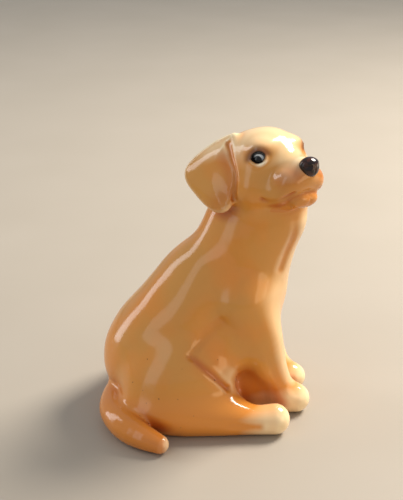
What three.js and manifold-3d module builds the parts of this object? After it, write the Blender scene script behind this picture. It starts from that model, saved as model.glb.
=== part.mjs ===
// A sitting puppy figurine in glazed ceramic, in millimetres, +Z up.
// The puppy faces -Y, its left side is +X, and the origin is on the underside, on its middle plane.
// It is built as a potter builds it: a hollow cast torso, with the head, ears, legs and tail
// pressed as separate pieces of clay that meet the torso at seams.
import * as THREE from 'three';
import { mergeVertices } from 'three/addons/utils/BufferGeometryUtils.js';
import Module from 'manifold-3d';

const wasm = await Module();
wasm.setup();

// ---- driving dimensions ----

const GAP = 0.3;               // clearance at each seam
const WALL = 4.0;              // thickness of the cast wall of the torso
const VENT = { radius: 4.5, y: 12 };   // the hole that lets steam out of the hollow in the kiln

const HEAD = { centre: [0, -17.4, 76.3], turned: 50, lifted: 18.5, tipped: 4 };  // degrees
const PAW_SPREAD = 8.3;        // middle plane to the middle of the right forepaw
const LEFT_PAW_INSET = 2.8;    // how much nearer the middle plane the left forepaw stands
const HIND_SPREAD = 22;        // middle plane to the middle of a hind foot
const EYE = { at: [7.2, -7.2, 2.1], radius: 2.6 };
const EAR = { root: [11.2, 1.5, 0], flare: 25, lean: 21, thickness: 4, edge: 1.1 };

const SIDES = { right: -1, left: 1 };

// ---- finishes ----

const glaze = { color: 0xd9a25e, roughness: 0.16, metalness: 0 };
const finishes = {
  glaze,
  earGlaze: { ...glaze, color: 0xcd9050 },
  jawGlaze: { ...glaze, color: 0xd07f34 },
  nose: { color: 0x2b1512, roughness: 0.12, metalness: 0 },
  eye: { color: 0x17130f, roughness: 0.08, metalness: 0 },
};

// ---- from geometry to solid and back ----

function toSolid(geometry) {
  geometry.deleteAttribute('normal');
  geometry.deleteAttribute('uv');
  const merged = mergeVertices(geometry, 1e-4);
  return new wasm.Manifold(new wasm.Mesh({
    numProp: 3,
    vertProperties: new Float32Array(merged.attributes.position.array),
    triVerts: new Uint32Array(merged.index.array),
  }));
}

function toGeometry(solid) {
  const mesh = solid.getMesh();
  const geometry = new THREE.BufferGeometry();
  geometry.setAttribute('position', new THREE.BufferAttribute(mesh.vertProperties, 3));
  geometry.setIndex(new THREE.BufferAttribute(mesh.triVerts, 1));
  geometry.computeVertexNormals();
  return geometry;
}

const join = (solids) => solids.reduce((all, next) => all.add(next));
const cut = (solid, tools) => tools.reduce((rest, tool) => rest.subtract(tool), solid);

// ---- lumps of clay ----

const STAY = new THREE.Matrix4();

// An egg-shaped lump, turned about X by tilt degrees and about Z by swing degrees.
function lump({ centre, radii, tilt = 0, swing = 0, fine = 1 }, grow = 0, pose = STAY) {
  const geometry = new THREE.SphereGeometry(1, Math.round(22 * fine), Math.round(14 * fine));
  geometry.scale(...radii.map((radius) => radius + grow));
  geometry.rotateX(THREE.MathUtils.degToRad(tilt));
  geometry.rotateZ(THREE.MathUtils.degToRad(swing));
  geometry.translate(...centre);
  return toSolid(geometry.applyMatrix4(pose));
}

// A rounded roll along a smooth route. Each radius is a number, or a pair where the section is oval:
// first the radius square to the across direction, then the radius along it.
function roll({ route, radii, across, around = 14, rings = 8 }, grow = 0, pose = STAY) {
  const path = new THREE.CatmullRomCurve3(route.map((point) => new THREE.Vector3(...point)));
  const girth = new THREE.CatmullRomCurve3(radii.map((radius) => (
    new THREE.Vector3([radius].flat()[0], [radius].flat().at(-1), 0)
  )));
  const length = 10;
  const geometry = new THREE.CapsuleGeometry(1, length, 4, around, rings);
  const spot = geometry.attributes.position;
  for (let i = 0; i < spot.count; i += 1) {
    const along = THREE.MathUtils.clamp(spot.getY(i) / length + 0.5, 0, 1);
    const beyond = spot.getY(i) - (along - 0.5) * length;
    const { x: deep, y: wide } = girth.getPoint(along).addScalar(grow);
    const forward = path.getTangent(along);
    const side = new THREE.Vector3().crossVectors(across, forward).normalize();
    const up = new THREE.Vector3().crossVectors(side, forward);
    const point = path.getPoint(along)
      .addScaledVector(side, spot.getX(i) * deep)
      .addScaledVector(up, spot.getZ(i) * wide)
      .addScaledVector(forward, beyond * wide);
    spot.setXYZ(i, point.x, point.y, point.z);
  }
  return toSolid(geometry.applyMatrix4(pose));
}

const X_AXIS = new THREE.Vector3(1, 0, 0);
const Z_AXIS = new THREE.Vector3(0, 0, 1);

// Everything below a height: the table that the wet clay stands on, and the floor of the hollow.
function slabBelow(height) {
  const depth = 100;
  return toSolid(new THREE.BoxGeometry(200, 200, depth).translate(0, 0, height - depth / 2));
}

const table = slabBelow(0);

// ---- torso ----

// From the rump up the back to the top of the neck: each section is deeper than it is wide.
const TRUNK = {
  route: [[0, 13, 4], [0, 9, 14], [0, 1, 27], [0, -8, 38], [0, -12.5, 49], [0, -15, 59], [0, -16, 66]],
  radii: [[18, 17], [23, 18.5], [20.5, 17], [19.5, 14.8], [16.2, 13], [13.8, 12.3], [11.5, 10.5]],
  across: X_AXIS,
  around: 24,
  rings: 18,
};
const BELLY = { centre: [0, -11, 8], radii: [9.6, 12.6, 13.5], fine: 0.8 };

const torsoForm = (grow = 0, pose = STAY) => join([roll(TRUNK, grow, pose), lump(BELLY, grow, pose)]);

// The hollow follows the trunk from its floor to the shoulders.
const HOLLOW = { ...TRUNK, route: TRUNK.route.slice(0, 4), radii: TRUNK.radii.slice(0, 4), rings: 8 };

function makeTorso() {
  const hollow = roll(HOLLOW, -WALL).subtract(slabBelow(WALL));
  const vent = new THREE.CylinderGeometry(VENT.radius, VENT.radius, 4 * WALL, 24)
    .rotateX(Math.PI / 2)
    .translate(0, VENT.y, 0);
  return cut(torsoForm(), [hollow, toSolid(vent), table]);
}

// ---- haunches, legs and tail ----

const haunchForm = (side, grow = 0) => join([
  lump({ centre: [side * 14.8, 6.5, 13], radii: [10.3, 16.5, 14.2], tilt: -24 }, grow),
  lump({ centre: [side * 17.2, 5.5, 5.5], radii: [9.9, 19, 7], swing: side * 3 }, grow),
]);

const hindFootForm = (side) => roll({
  route: [
    [side * (HIND_SPREAD - 3), 2, 5.2],
    [side * HIND_SPREAD, -9, 4.7],
    [side * HIND_SPREAD, -17, 4],
    [side * HIND_SPREAD, -21.8, 4.3],
  ],
  radii: [6, 5, 4.2, 4.7],
  across: Z_AXIS,
});

const pawX = (side) => side * (side === SIDES.left ? PAW_SPREAD - LEFT_PAW_INSET : PAW_SPREAD);

const forelegForm = (side) => join([
  roll({
    route: [
      [side * PAW_SPREAD * 1.15, -12.5, 38],
      [side * PAW_SPREAD * 1.2, -17, 26],
      [side * PAW_SPREAD * 1.15, -19.4, 18.5],
      [(side * PAW_SPREAD * 1.1 + pawX(side)) / 2, -22.2, 12],
      [pawX(side), -25, 6],
    ],
    radii: [8.6, 7.4, 6, 4.7, 4.2],
    across: X_AXIS,
  }),
  lump({ centre: [side * PAW_SPREAD * 1.15, -8.8, 24], radii: [7, 9.5, 9], fine: 0.7 }),   // elbow
  roll({
    route: [[pawX(side), -25.4, 4.3], [pawX(side), -28.9, 4.1]],
    radii: [4.8, 4.4],
    across: X_AXIS,
    rings: 1,
  }),
]);

const tailForm = () => roll({
  route: [[0, 22, 5], [-7, 26, 4.4], [-18, 26, 4.2], [-28, 19.6, 3.9], [-33, 12.1, 2.8]],
  radii: [4.8, 4.5, 4.4, 4.2, 2.7],
  across: Z_AXIS,
  rings: 14,
});

// ---- head: everything here is in the head's own frame, which faces -Y before it is posed ----

const headGroup = new THREE.Group();
headGroup.position.set(...HEAD.centre);
headGroup.rotation.set(
  THREE.MathUtils.degToRad(-HEAD.lifted),
  THREE.MathUtils.degToRad(HEAD.tipped),
  THREE.MathUtils.degToRad(-HEAD.turned),
  'ZXY',
);
headGroup.updateMatrix();
const intoHead = headGroup.matrix.clone().invert();

const pair = (part) => Object.values(SIDES).map((side) => (
  { ...part, centre: [side * part.centre[0], part.centre[1], part.centre[2]] }
));

const HEAD_LUMPS = [
  { centre: [0, 1, 0], radii: [12.6, 12.5, 11.6] },                       // skull
  { centre: [0, -4, 1.8], radii: [10.2, 9, 8.6] },                        // forehead
  ...pair({ centre: [6.2, -3, -5.2], radii: [6.6, 8.2, 6.7], fine: 0.8 }),  // cheeks
];

// From the cheeks to the lips.
const MUZZLE = {
  route: [[0, -6, -4.4], [0, -10.5, -4.8], [0, -13.6, -4.8]],
  radii: [[6.6, 8.2], [6, 7.8], [5.2, 6.6]],
  across: X_AXIS,
  around: 18,
  rings: 4,
};

const headForm = (grow = 0) => join([...HEAD_LUMPS.map((part) => lump(part, grow)), roll(MUZZLE, grow)]);

const eyeForm = (side, grow = 0) => lump({
  centre: [side * EYE.at[0], EYE.at[1], EYE.at[2]],
  radii: [EYE.radius, EYE.radius, EYE.radius],
  fine: 0.7,
}, grow);

const makeHead = () => cut(headForm(), [
  torsoForm(GAP, intoHead),
  ...Object.values(SIDES).map((side) => eyeForm(side, GAP)),
]);

const makeJaw = () => cut(
  roll({ route: [[0, -5, -8.2], [0, -13.8, -9.5]], radii: [6.2, [3.2, 5.2]], across: X_AXIS, rings: 2 }),
  [headForm(GAP), torsoForm(GAP, intoHead)],
);

const makeNose = () => cut(
  lump({ centre: [0, -19.8, -1.6], radii: [3.2, 2.4, 2.7], fine: 0.7 }),
  [headForm(GAP)],
);

// The edge of the ear, from the top of its root round by its hind corner: back, then up.
const EAR_EDGE = new THREE.CatmullRomCurve3([
  [-1.6, 10], [3.8, 8.9], [9.1, 5.9], [12.5, 2.4], [12.4, -1], [9.6, -5],
  [6.2, -8.8], [3.2, -10.8], [0.2, -10], [-1, -4], [-2.2, 3],
].map(([back, up]) => new THREE.Vector3(back, up, 0)), true);

// A leaf of clay hung from the side of the crown, its hind and lower edges swung outwards.
function makeEar(side) {
  const flat = EAR.thickness - 2 * EAR.edge;
  const geometry = new THREE.ExtrudeGeometry(new THREE.Shape(EAR_EDGE.getPoints(24).slice(0, -1)), {
    depth: flat,
    bevelSize: EAR.edge,
    bevelThickness: EAR.edge,
    bevelSegments: 2,
  }).translate(0, 0, -flat / 2);
  const flare = THREE.MathUtils.degToRad(EAR.flare);
  const lean = THREE.MathUtils.degToRad(EAR.lean);
  const back = new THREE.Vector3(side * Math.sin(flare), Math.cos(flare), 0);
  const out = new THREE.Vector3(side * Math.cos(flare), -Math.sin(flare), 0);
  const up = Z_AXIS.clone().multiplyScalar(Math.cos(lean)).addScaledVector(out, -Math.sin(lean));
  geometry.applyMatrix4(new THREE.Matrix4().makeBasis(back, up, back.clone().cross(up)));
  geometry.translate(side * EAR.root[0], EAR.root[1], EAR.root[2]);
  return cut(toSolid(geometry), [headForm(GAP), torsoForm(GAP, intoHead)]);
}

// ---- the figurine ----

const figurine = new THREE.Group();

function place(name, solid, finish, parent = figurine) {
  const mesh = new THREE.Mesh(toGeometry(solid), new THREE.MeshStandardMaterial(finish));
  mesh.name = name;
  parent.add(mesh);
}

const grownTorso = torsoForm(GAP);
const grownHaunches = Object.values(SIDES).map((side) => haunchForm(side, GAP));

place('torso', makeTorso(), finishes.glaze);
place('tail', cut(tailForm(), [grownTorso, ...grownHaunches, table]), finishes.glaze);

figurine.add(headGroup);
place('head', makeHead(), finishes.glaze, headGroup);
place('lower_jaw', makeJaw(), finishes.jawGlaze, headGroup);
place('nose', makeNose(), finishes.nose, headGroup);

for (const [name, side] of Object.entries(SIDES)) {
  place(`${name}_ear`, makeEar(side), finishes.earGlaze, headGroup);
  place(`${name}_eye`, eyeForm(side), finishes.eye, headGroup);
  place(`${name}_haunch`, cut(haunchForm(side), [grownTorso, table]), finishes.glaze);
  place(`${name}_hind_foot`, cut(hindFootForm(side), [grownTorso, ...grownHaunches, table]), finishes.glaze);
  place(`${name}_foreleg`, cut(forelegForm(side), [grownTorso, ...grownHaunches, table]), finishes.glaze);
}

export default figurine;
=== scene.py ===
"""A sitting puppy figurine in glazed ceramic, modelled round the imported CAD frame.

The whole figure is shaped as clay: lumps, rolls and leaves of clay are blended into one skin, tool
marks are pressed into it, and the skin is then parted along the seams between the pieces that a potter
luted together. Neighbouring pieces share their seam points and normals, so that the glaze runs over
the seams unbroken, as it does on the fired figurine. Shapes are in millimetres until a mesh is made.
"""

from __future__ import annotations

import logging
import math
import sys
from collections.abc import Callable
from dataclasses import dataclass, field
from enum import Enum
from functools import cached_property, reduce

import bpy
import numpy as np
import openvdb
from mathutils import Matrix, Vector

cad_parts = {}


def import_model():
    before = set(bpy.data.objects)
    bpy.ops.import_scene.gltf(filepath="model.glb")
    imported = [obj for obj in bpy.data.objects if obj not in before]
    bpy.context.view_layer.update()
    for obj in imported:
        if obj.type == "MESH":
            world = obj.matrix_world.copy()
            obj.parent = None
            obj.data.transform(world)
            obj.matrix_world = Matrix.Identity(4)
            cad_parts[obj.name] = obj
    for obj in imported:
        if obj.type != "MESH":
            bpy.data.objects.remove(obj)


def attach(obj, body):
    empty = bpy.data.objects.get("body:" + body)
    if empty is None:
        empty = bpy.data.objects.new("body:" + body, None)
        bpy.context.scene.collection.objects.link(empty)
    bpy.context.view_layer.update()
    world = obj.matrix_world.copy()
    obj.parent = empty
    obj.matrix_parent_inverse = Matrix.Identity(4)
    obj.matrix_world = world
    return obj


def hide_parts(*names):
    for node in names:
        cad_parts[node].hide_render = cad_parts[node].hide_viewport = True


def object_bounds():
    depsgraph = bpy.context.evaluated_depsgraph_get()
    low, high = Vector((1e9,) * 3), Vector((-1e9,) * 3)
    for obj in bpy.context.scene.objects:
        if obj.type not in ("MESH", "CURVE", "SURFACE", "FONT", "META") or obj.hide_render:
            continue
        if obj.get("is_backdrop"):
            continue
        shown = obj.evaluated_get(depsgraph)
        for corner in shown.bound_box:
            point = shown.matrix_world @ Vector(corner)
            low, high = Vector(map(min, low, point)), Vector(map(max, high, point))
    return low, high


LOG = logging.getLogger("figurine")
MM = 0.001
F32 = np.float32
Point = tuple[float, float, float]
Span = tuple[float, float]
Shape = Callable[[np.ndarray], np.ndarray]
# What the glaze colour follows at each point: where it darkens, for glaze pooled in hollows and for painted
# shade in creases; where it pales, for glaze thinned on ridges and for painted light on the sides facing the
# key light; and where it is missing.
GLAZE_VALUES = ("pool", "thin", "bare")
# A point's level this near to zero is moved off it, so that a cut leaves no slivers.
CLEAR_OF_CUT = 0.03


class Side(Enum):
    """The two sides of the puppy, by the sign of x."""

    RIGHT = -1
    LEFT = 1


BOTH = (Side.RIGHT, Side.LEFT)


# ---------------------------------------------------------------- clay


def smooth_union(a: np.ndarray, b: np.ndarray, blend: float) -> np.ndarray:
    """Two skins joined, with the crease between them filled over the width of blend."""
    near = np.maximum(blend - np.abs(a - b), 0) / blend
    return np.minimum(a, b) - near * near * F32(blend * 0.25)


def smooth_cut(a: np.ndarray, b: np.ndarray, blend: float) -> np.ndarray:
    """The skin a with b taken out of it, its new edge rounded over the width of blend."""
    return -smooth_union(-a, b, blend)


def rotation(turn: Point) -> np.ndarray:
    """The matrix that turns about X, then Y, then Z, by degrees.

    Args:
        turn: Degrees about each axis.

    Returns:
        The 3 by 3 matrix.
    """
    x, y, z = (math.radians(angle) for angle in turn)
    about_x = [[1, 0, 0], [0, math.cos(x), -math.sin(x)], [0, math.sin(x), math.cos(x)]]
    about_y = [[math.cos(y), 0, math.sin(y)], [0, 1, 0], [-math.sin(y), 0, math.cos(y)]]
    about_z = [[math.cos(z), -math.sin(z), 0], [math.sin(z), math.cos(z), 0], [0, 0, 1]]
    return (np.array(about_z) @ np.array(about_y) @ np.array(about_x)).astype(F32)


def smooth_route(points: np.ndarray, steps: int) -> np.ndarray:
    """A Catmull-Rom curve through the rows of points, with that many steps from each row to the next.

    Args:
        points: One row for each point of the route.
        steps: How many short steps run from each row to the next.

    Returns:
        The curve's rows.
    """
    padded = np.vstack([points[:1], points, points[-1:]])
    t = (np.arange(steps) / steps)[:, None]
    spans = []
    for a, b, c, d in zip(padded, padded[1:], padded[2:], padded[3:]):
        cubic = -a + 3 * b - 3 * c + d
        spans.append(0.5 * (2 * b + (c - a) * t + (2 * a - 5 * b + 4 * c - d) * t**2 + cubic * t**3))
    return np.vstack([*spans, points[-1:]])


@dataclass(frozen=True)
class Lump:
    """An egg-shaped lump of clay."""

    centre: Point
    radii: Point
    turn: Point = (0, 0, 0)

    def distance(self, points: np.ndarray) -> np.ndarray:
        """Roughly how far each point is outside the lump's skin.

        Args:
            points: One point a row, in the lump's own surroundings.

        Returns:
            The distance of each, below zero inside.
        """
        local = points - np.array(self.centre, F32)
        if any(self.turn):
            local = local @ rotation(self.turn)
        radii = np.array(self.radii, F32)
        scaled = local / radii
        reach = np.sqrt((scaled * scaled).sum(1))
        steep = np.sqrt(((scaled / radii) ** 2).sum(1))
        return reach * (reach - 1) / np.maximum(steep, F32(1e-6))


@dataclass(frozen=True)
class Roll:
    """A round roll of clay along a smooth route, its radius given at each point of the route."""

    route: tuple[Point, ...]
    radii: tuple[float, ...]
    steps: int = 5
    margin: float = 9.0

    @cached_property
    def stretches(self) -> np.ndarray:
        """The route in short straight stretches, as rows of x, y, z and radius."""
        return smooth_route(np.column_stack([self.route, self.radii]), self.steps).astype(F32)

    def distance(self, points: np.ndarray) -> np.ndarray:
        """How far each point is outside the roll, or just the margin where it is further than that.

        Args:
            points: One point a row.

        Returns:
            The distance of each, below zero inside.
        """
        rows = self.stretches
        low = (rows[:, :3] - rows[:, 3:]).min(0) - self.margin
        high = (rows[:, :3] + rows[:, 3:]).max(0) + self.margin
        near = ((points > low) & (points < high)).all(1)
        result = np.full(len(points), self.margin, F32)
        close = points[near]
        best = np.full(len(close), F32(1e6))
        for start, end in zip(rows, rows[1:]):
            best = np.minimum(best, self.cone(close, start, end))
        result[near] = best
        return result

    @staticmethod
    def cone(points: np.ndarray, start: np.ndarray, end: np.ndarray) -> np.ndarray:
        """Distance to one stretch: two balls and the cone that wraps them.

        Args:
            points: One point a row.
            start: The stretch's start: x, y, z and radius.
            end: Its end, in the same way.

        Returns:
            The distance of each, below zero inside.
        """
        axis = end[:3] - start[:3]
        length = float(axis @ axis)
        taper = float(start[3] - end[3])
        slant = max(length - taper * taper, 1e-6)
        offset = points - start[:3]
        along = offset @ axis
        beyond = along - length
        aside = offset * F32(length) - along[:, None] * axis
        aside2 = (aside * aside).sum(1)
        along2, beyond2 = along * along * length, beyond * beyond * length
        tip = math.copysign(1, taper) * taper * taper * aside2
        wrap = (np.sqrt(aside2 * slant / length) + along * taper) / length - start[3]
        at_start = np.sqrt(aside2 + along2) / length - start[3]
        at_end = np.sqrt(aside2 + beyond2) / length - end[3]
        result = np.where(np.sign(along) * slant * along2 < tip, at_start, wrap)
        return np.where(np.sign(beyond) * slant * beyond2 > tip, at_end, result)


@dataclass(frozen=True)
class Leaf:
    """A leaf of clay, full in the middle and thin at its rounded edge, curled about its long axis."""

    centre: Point
    flare: float
    lean: float
    outline: tuple[Span, ...]
    half_thickness: float
    fullness: float
    rounding: float
    curl: float
    uncurled: float = 4.0
    thinning: float = 6.0
    margin: float = 9.0

    @cached_property
    def edge(self) -> np.ndarray:
        """The leaf's outline as a closed smooth polygon."""
        ring = np.array(self.outline + self.outline[:1], float)
        return smooth_route(ring, 4)[:-1].astype(F32)

    def distance(self, points: np.ndarray) -> np.ndarray:
        """How far each point is outside the leaf, or just the margin where it is further than that.

        Args:
            points: One point a row, in the head's own frame.

        Returns:
            The distance of each, below zero inside.
        """
        local = points - np.array(self.centre, F32)
        reach = float(np.abs(self.edge).max()) + self.margin
        near = (local * local).sum(1) < reach * reach
        result = np.full(len(points), self.margin, F32)
        result[near] = np.minimum(self.close_distance(local[near]), self.margin)
        return result

    def close_distance(self, local: np.ndarray) -> np.ndarray:
        """How far each point is outside the leaf.

        Args:
            local: Points from the leaf's centre. Its plane runs back and out by the flare, and down
                and out by the lean.

        Returns:
            The distance of each.
        """
        flare = math.radians(self.flare)
        back = local[:, 0] * F32(math.sin(flare)) + local[:, 1] * F32(math.cos(flare))
        through = local[:, 0] * F32(math.cos(flare)) - local[:, 1] * F32(math.sin(flare))
        lean = math.radians(self.lean)
        up = local[:, 2] * F32(math.cos(lean)) - through * F32(math.sin(lean))
        through = through * F32(math.cos(lean)) + local[:, 2] * F32(math.sin(lean))
        middle = F32(self.edge[:, 0].mean())
        through = through - F32(self.curl) * ((back - middle) ** 2 - self.uncurled**2)
        nearest = np.full(len(local), F32(1e9))
        inside = np.ones(len(local), F32)
        for a, b in zip(self.edge, np.roll(self.edge, 1, axis=0)):
            span = b - a
            from_back, from_up = back - a[0], up - a[1]
            t = np.clip((from_back * span[0] + from_up * span[1]) / (span @ span), 0, 1)
            nearest = np.minimum(nearest, (from_back - span[0] * t) ** 2 + (from_up - span[1] * t) ** 2)
            above, below = up >= a[1], up < b[1]
            left = span[0] * from_up > span[1] * from_back
            crossed = (above & below & left) | (~above & ~below & ~left)
            inside = np.where(crossed, -inside, inside)
        sideways = inside * np.sqrt(nearest)
        depth = np.clip(-sideways / self.thinning, 0, 1)
        outwards = np.abs(through) - F32(self.half_thickness) - F32(self.fullness) * depth * (2 - depth)
        corner = np.hypot(np.maximum(sideways, 0), np.maximum(outwards, 0))
        return np.minimum(np.maximum(sideways, outwards), 0) + corner - F32(self.rounding)


@dataclass(frozen=True)
class ToolMark:
    """A stroke of a modelling tool: it presses a groove, or raises a ridge where depth is negative."""

    route: tuple[Point, ...]
    width: float
    depth: float
    # How much the stroke darkens the glaze along it: partly glaze pooled there, partly painted shade.
    pooling_and_shade: float = 0.0

    @cached_property
    def stretches(self) -> np.ndarray:
        """The stroke's route in short straight stretches."""
        return smooth_route(np.array(self.route, float), 5).astype(F32)

    def press(self, points: np.ndarray) -> np.ndarray:
        """How far the stroke sinks the skin at each point."""
        return F32(self.depth) * self.touch(points)

    def touch(self, points: np.ndarray) -> np.ndarray:
        """How much of the stroke each point feels: 1 in its middle, fading over its width.

        Args:
            points: One point a row, in the figure's frame.

        Returns:
            A number from 0 to 1 for each.
        """
        rows = self.stretches
        reach = 3 * self.width
        near = ((points > rows.min(0) - reach) & (points < rows.max(0) + reach)).all(1)
        result = np.zeros(len(points), F32)
        close = points[near]
        best = np.full(len(close), F32(1e6))
        for start, end in zip(rows, rows[1:]):
            span = end - start
            t = np.clip((close - start) @ span / max(float(span @ span), 1e-6), 0, 1)
            best = np.minimum(best, ((close - start - t[:, None] * span) ** 2).sum(1))
        result[near] = np.exp(-best / F32(self.width**2))
        return result


def blended(lumps: tuple, points: np.ndarray, blend: float) -> np.ndarray:
    """Several lumps or rolls blended into one another in order.

    Args:
        lumps: The shapes to blend.
        points: One point a row.
        blend: How wide the creases between them are filled.

    Returns:
        The distance of each, below zero inside.
    """
    total = lumps[0].distance(points)
    for lump in lumps[1:]:
        total = smooth_union(total, lump.distance(points), blend)
    return total


# ---------------------------------------------------------------- the pieces of clay


@dataclass(frozen=True)
class Piece:
    """One piece of clay: what it is called, what it stands for, and how it joins the figure."""

    node: str = "piece"
    slot: str = "honey_glaze"
    blend: float = 3.0
    core: Point = (0, 0, 0)

    def distance(self, points: np.ndarray) -> np.ndarray:
        """How far each point is outside this piece alone."""
        raise NotImplementedError


@dataclass(frozen=True)
class Trunk(Piece):
    """The cast torso and neck, hollow, with the vent hole in its base."""

    node: str = "torso"
    core: Point = (0, 0, 25)
    lumps: tuple[Lump, ...] = (
        Lump((0, 10.7, 14.5), (18, 19.6, 17)),
        Lump((0, 6.2, 26.5), (17, 21.8, 16.3), (-40, 0, 0)),
        Lump((0, -4.0, 39.8), (14.5, 18.2, 15.7), (-40, 0, 0)),
        Lump((0, -12.5, 32), (12.0, 12.0, 15)),
        Lump((0, -14.8, 45), (12.5, 10.8, 13), (-10, 0, 0)),
        Lump((0, -15.2, 58), (12.3, 14.6, 14), (-20, 0, 0)),
    )
    belly: Lump = Lump((0, -11.0, 8), (9.6, 12.6, 13.5))
    dewlap: Lump = Lump((-3, -22.6, 63.5), (7.0, 7.4, 6.5), (-20, 0, 0))
    trunk_blend: float = 7.0
    wall: float = 4.0
    hollow_top: float = 30.0
    vent_radius: float = 4.5
    vent_y: float = 12.0
    vent_overlap: float = 2.0

    def distance(self, points: np.ndarray) -> np.ndarray:
        """The outside of the torso, before the hollow is taken out."""
        trunk = blended((*self.lumps, self.dewlap), points, self.trunk_blend)
        return smooth_union(trunk, self.belly.distance(points), 4.0)

    def hollow(self, points: np.ndarray) -> np.ndarray:
        """The space inside the casting, and the round hole that opens it to the kiln.

        Args:
            points: One point a row, in the figure's frame.

        Returns:
            The distance of each, below zero inside.
        """
        z = points[:, 2]
        space = np.maximum(self.distance(points) + self.wall, self.wall - z)
        space = np.maximum(space, z - self.hollow_top)
        bore = np.hypot(points[:, 0], points[:, 1] - self.vent_y) - self.vent_radius
        bore = np.maximum(bore, z - self.wall - self.vent_overlap)
        return smooth_union(space, bore, 1.0)


@dataclass(frozen=True)
class Haunch(Piece):
    """A folded hind leg: the thigh, and the shank flat on the table."""

    side: Side = Side.RIGHT
    blend: float = 4.5

    def distance(self, points: np.ndarray) -> np.ndarray:
        """Thigh and shank together.

        Args:
            points: One point a row, in the figure's frame.

        Returns:
            The distance of each, below zero inside.
        """
        s = self.side.value
        thigh = Lump((s * 14.8, 6.5, 13.0), (10.3, 16.5, 14.2), (-24, 0, 0))
        shank = Lump((s * 17.2, 5.5, 5.5), (9.9, 19.0, 7.0), (0, 0, s * 3))
        return blended((thigh, shank), points, 6.0)


@dataclass(frozen=True)
class HindFoot(Piece):
    """A hind foot, pointing forwards from under the haunch."""

    side: Side = Side.RIGHT
    spread: float = 22.0
    blend: float = 4.0

    def distance(self, points: np.ndarray) -> np.ndarray:
        """The foot as one roll.

        Args:
            points: One point a row, in the figure's frame.

        Returns:
            The distance of each, below zero inside.
        """
        x = self.side.value * self.spread
        route = ((x * 0.86, 2, 5.5), (x * 0.98, -9, 5.0), (x, -16, 4.5), (x * 0.98, -21.7, 4.5))
        return Roll(route, (6.0, 5.1, 4.5, 4.6)).distance(points)


@dataclass(frozen=True)
class Foreleg(Piece):
    """A foreleg from the shoulder to the paw."""

    side: Side = Side.RIGHT
    spread: float = 8.3
    inset: float = 0.0
    blend: float = 4.5

    def distance(self, points: np.ndarray) -> np.ndarray:
        """The leg, with the paw blended to its foot.

        Args:
            points: One point a row, in the figure's frame.

        Returns:
            The distance of each, below zero inside.
        """
        x = self.side.value * self.spread
        foot = self.side.value * (self.spread - self.inset)
        ankle = (x * 1.1 + foot) / 2
        shoulder, elbow = (x * 1.15, -12.5, 38), (x * 1.2, -17, 26)
        route = (shoulder, elbow, (x * 1.15, -19.4, 18.5), (ankle, -22.2, 12), (foot, -25, 6))
        leg = Roll(route, (8.6, 7.4, 6.0, 4.7, 4.2))
        paw = Roll(((foot, -25.8, 4.5), (foot, -28.9, 4.2)), (4.7, 4.4), steps=1)
        upper_arm = Lump((x * 1.15, -8.8, 24.0), (7.0, 9.5, 9.0))
        web = Lump((x * 0.9, -16.8, 8.0), (3.6, 7.6, 10.0))
        return blended((leg, upper_arm, paw, web), points, 3.0)


@dataclass(frozen=True)
class Tail(Piece):
    """The tail, curled from the rump round the right side, on the table."""

    node: str = "tail"
    blend: float = 2.0
    core: Point = (0, 15, 9)
    route: tuple[Point, ...] = (
        (0, 22, 5), (-7, 26, 4.4), (-18, 26, 4.2), (-28, 19.6, 3.9), (-33, 12.1, 2.8),
    )
    radii: tuple[float, ...] = (4.8, 4.5, 4.4, 4.2, 2.7)

    def distance(self, points: np.ndarray) -> np.ndarray:
        """The tail as one roll."""
        return Roll(self.route, self.radii).distance(points)


@dataclass(frozen=True)
class HeadPose:
    """Where the head sits and looks. Its own frame faces -Y, with the skull round the origin."""

    centre: Point = (0.0, -17.4, 76.3)
    turned: float = 50.0
    lifted: float = 18.5
    tipped: float = 4.0

    @cached_property
    def matrix(self) -> np.ndarray:
        """Columns are the head's own axes in the figure's frame."""
        turned = rotation((0, 0, -self.turned))
        return turned @ rotation((-self.lifted, 0, 0)) @ rotation((0, self.tipped, 0))

    def local(self, points: np.ndarray) -> np.ndarray:
        """Points of the figure, in the head's own frame."""
        return (points - np.array(self.centre, F32)) @ self.matrix

    def world(self, points: np.ndarray) -> np.ndarray:
        """Points of the head, in the figure's frame."""
        return points @ self.matrix.T + np.array(self.centre, F32)


def folded(points: np.ndarray) -> np.ndarray:
    """Both halves of the head laid on its left half, so that one shape serves for two."""
    return np.column_stack([np.abs(points[:, 0]), points[:, 1:]])


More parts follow.
